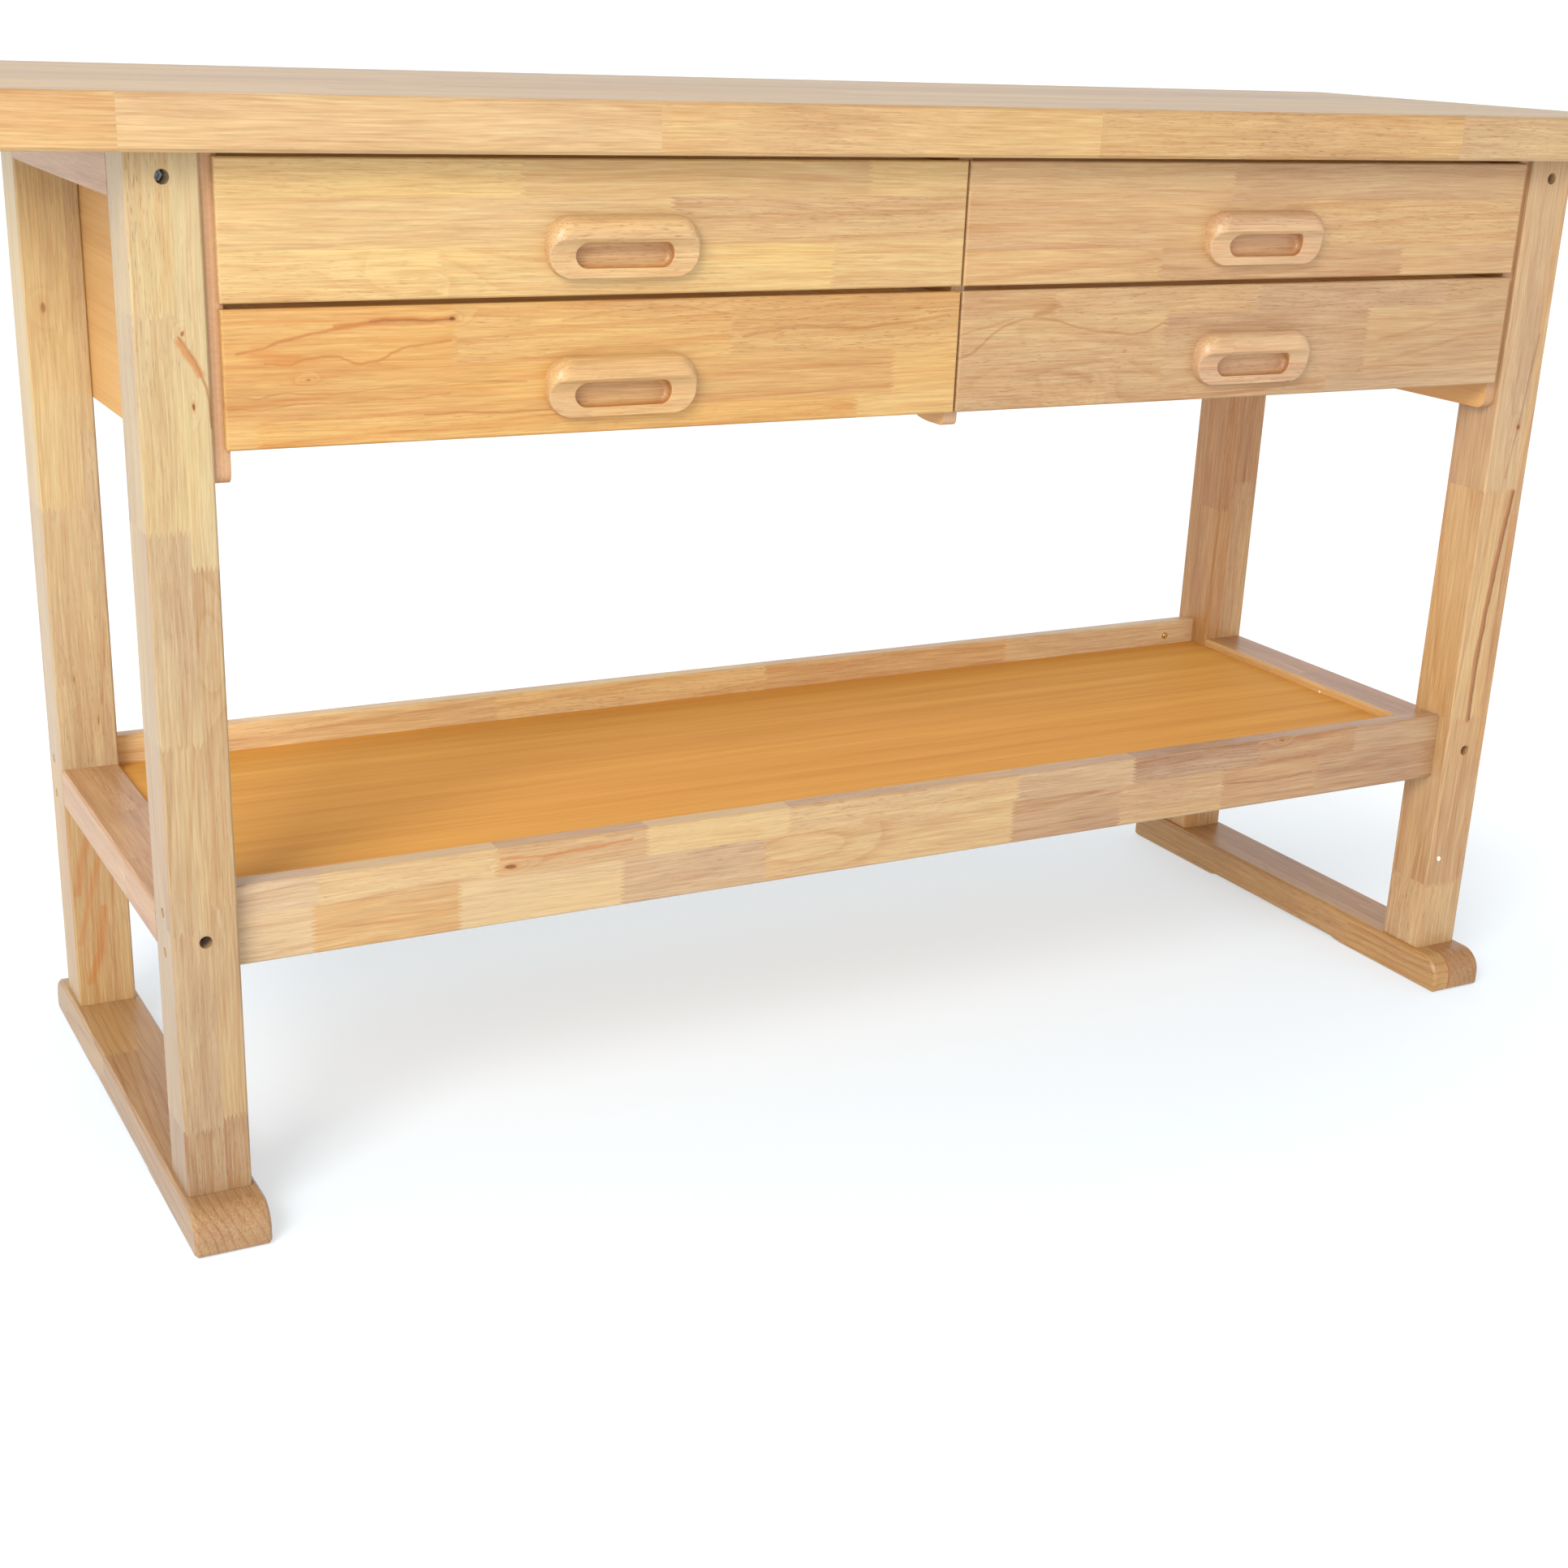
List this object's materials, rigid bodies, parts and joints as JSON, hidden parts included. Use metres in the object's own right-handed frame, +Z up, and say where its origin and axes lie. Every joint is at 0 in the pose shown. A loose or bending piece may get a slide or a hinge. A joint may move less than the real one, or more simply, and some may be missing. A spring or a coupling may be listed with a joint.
{
  "type": "workbench",
  "caption": "Wooden workbench on trestle feet with a thick laminated top, side-hung drawers in two rows with milled wooden pulls, and a low shelf between rails.",
  "frame": {"origin": "on the floor under the middle of the bench", "axes": "+X along the bench to the user's right, +Y away from the user to the back, +Z up"},
  "size_m": [1.524, 0.519, 0.864],
  "materials": {
    "top_wood": "satin lacquered edge-glued hardwood",
    "leg_wood": "satin lacquered edge-glued hardwood",
    "foot_wood": "satin lacquered hardwood",
    "rail_wood": "satin lacquered hardwood",
    "drawer_front_wood": "satin lacquered finger-jointed hardwood",
    "pull_wood": "satin lacquered milled hardwood",
    "shelf_ply": "satin lacquered plywood",
    "panel_ply": "satin lacquered plywood",
    "drawer_box_wood": "sanded hardwood",
    "drawer_bottom_ply": "sanded plywood",
    "strip_wood": "planed hardwood",
    "plug_wood": "lacquered hardwood plug, end grain out",
    "steel": "bright zinc",
    "zinc": "bright zinc",
    "brass": "nickel-washed brass"
  },
  "bodies": {
    "bench": {"back_panel": "panel_ply", "barrel_nuts": "steel", "case_screws": "zinc", "centre_divider": "panel_ply", "divider_strips": "strip_wood", "end_rail_bolts": "steel", "foot_screws": "steel", "front_left_leg": "leg_wood", "front_right_leg": "leg_wood", "front_shelf_cleat": "strip_wood", "front_shelf_rail": "rail_wood", "left_foot": "foot_wood", "left_lower_end_rail": "rail_wood", "left_panel_strips": "strip_wood", "left_side_panel": "panel_ply", "left_upper_end_rail": "rail_wood", "rear_left_leg": "leg_wood", "rear_rail_screws": "brass", "rear_right_leg": "leg_wood", "rear_shelf_cleat": "strip_wood", "rear_shelf_rail": "rail_wood", "right_foot": "foot_wood", "right_lower_end_rail": "rail_wood", "right_panel_strips": "strip_wood", "right_side_panel": "panel_ply", "right_upper_end_rail": "rail_wood", "shelf": "shelf_ply", "shelf_screws": "zinc", "stretcher_plugs": "plug_wood", "stretcher_screws": "steel", "tabletop": "top_wood", "top_screws": "zinc"},
    "lower_left_drawer": {"lower_left_drawer_back": "drawer_box_wood", "lower_left_drawer_bottom": "drawer_bottom_ply", "lower_left_drawer_front": "drawer_front_wood", "lower_left_drawer_inner_side": "drawer_box_wood", "lower_left_drawer_outer_side": "drawer_box_wood", "lower_left_drawer_pull": "pull_wood", "lower_left_drawer_pull_screws": "zinc"},
    "lower_right_drawer": {"lower_right_drawer_back": "drawer_box_wood", "lower_right_drawer_bottom": "drawer_bottom_ply", "lower_right_drawer_front": "drawer_front_wood", "lower_right_drawer_inner_side": "drawer_box_wood", "lower_right_drawer_outer_side": "drawer_box_wood", "lower_right_drawer_pull": "pull_wood", "lower_right_drawer_pull_screws": "zinc"},
    "upper_left_drawer": {"upper_left_drawer_back": "drawer_box_wood", "upper_left_drawer_bottom": "drawer_bottom_ply", "upper_left_drawer_front": "drawer_front_wood", "upper_left_drawer_inner_side": "drawer_box_wood", "upper_left_drawer_outer_side": "drawer_box_wood", "upper_left_drawer_pull": "pull_wood", "upper_left_drawer_pull_screws": "zinc"},
    "upper_right_drawer": {"upper_right_drawer_back": "drawer_box_wood", "upper_right_drawer_bottom": "drawer_bottom_ply", "upper_right_drawer_front": "drawer_front_wood", "upper_right_drawer_inner_side": "drawer_box_wood", "upper_right_drawer_outer_side": "drawer_box_wood", "upper_right_drawer_pull": "pull_wood", "upper_right_drawer_pull_screws": "zinc"}
  },
  "joints": [
    {"name": "lower_left_drawer_slide", "type": "slide", "parent": "bench", "child": "lower_left_drawer", "axis": [0, -1, 0], "range_m": [0, 0.3]},
    {"name": "lower_right_drawer_slide", "type": "slide", "parent": "bench", "child": "lower_right_drawer", "axis": [0, -1, 0], "range_m": [0, 0.3]},
    {"name": "upper_left_drawer_slide", "type": "slide", "parent": "bench", "child": "upper_left_drawer", "axis": [0, -1, 0], "range_m": [0, 0.3]},
    {"name": "upper_right_drawer_slide", "type": "slide", "parent": "bench", "child": "upper_right_drawer", "axis": [0, -1, 0], "range_m": [0, 0.3]}
  ]
}
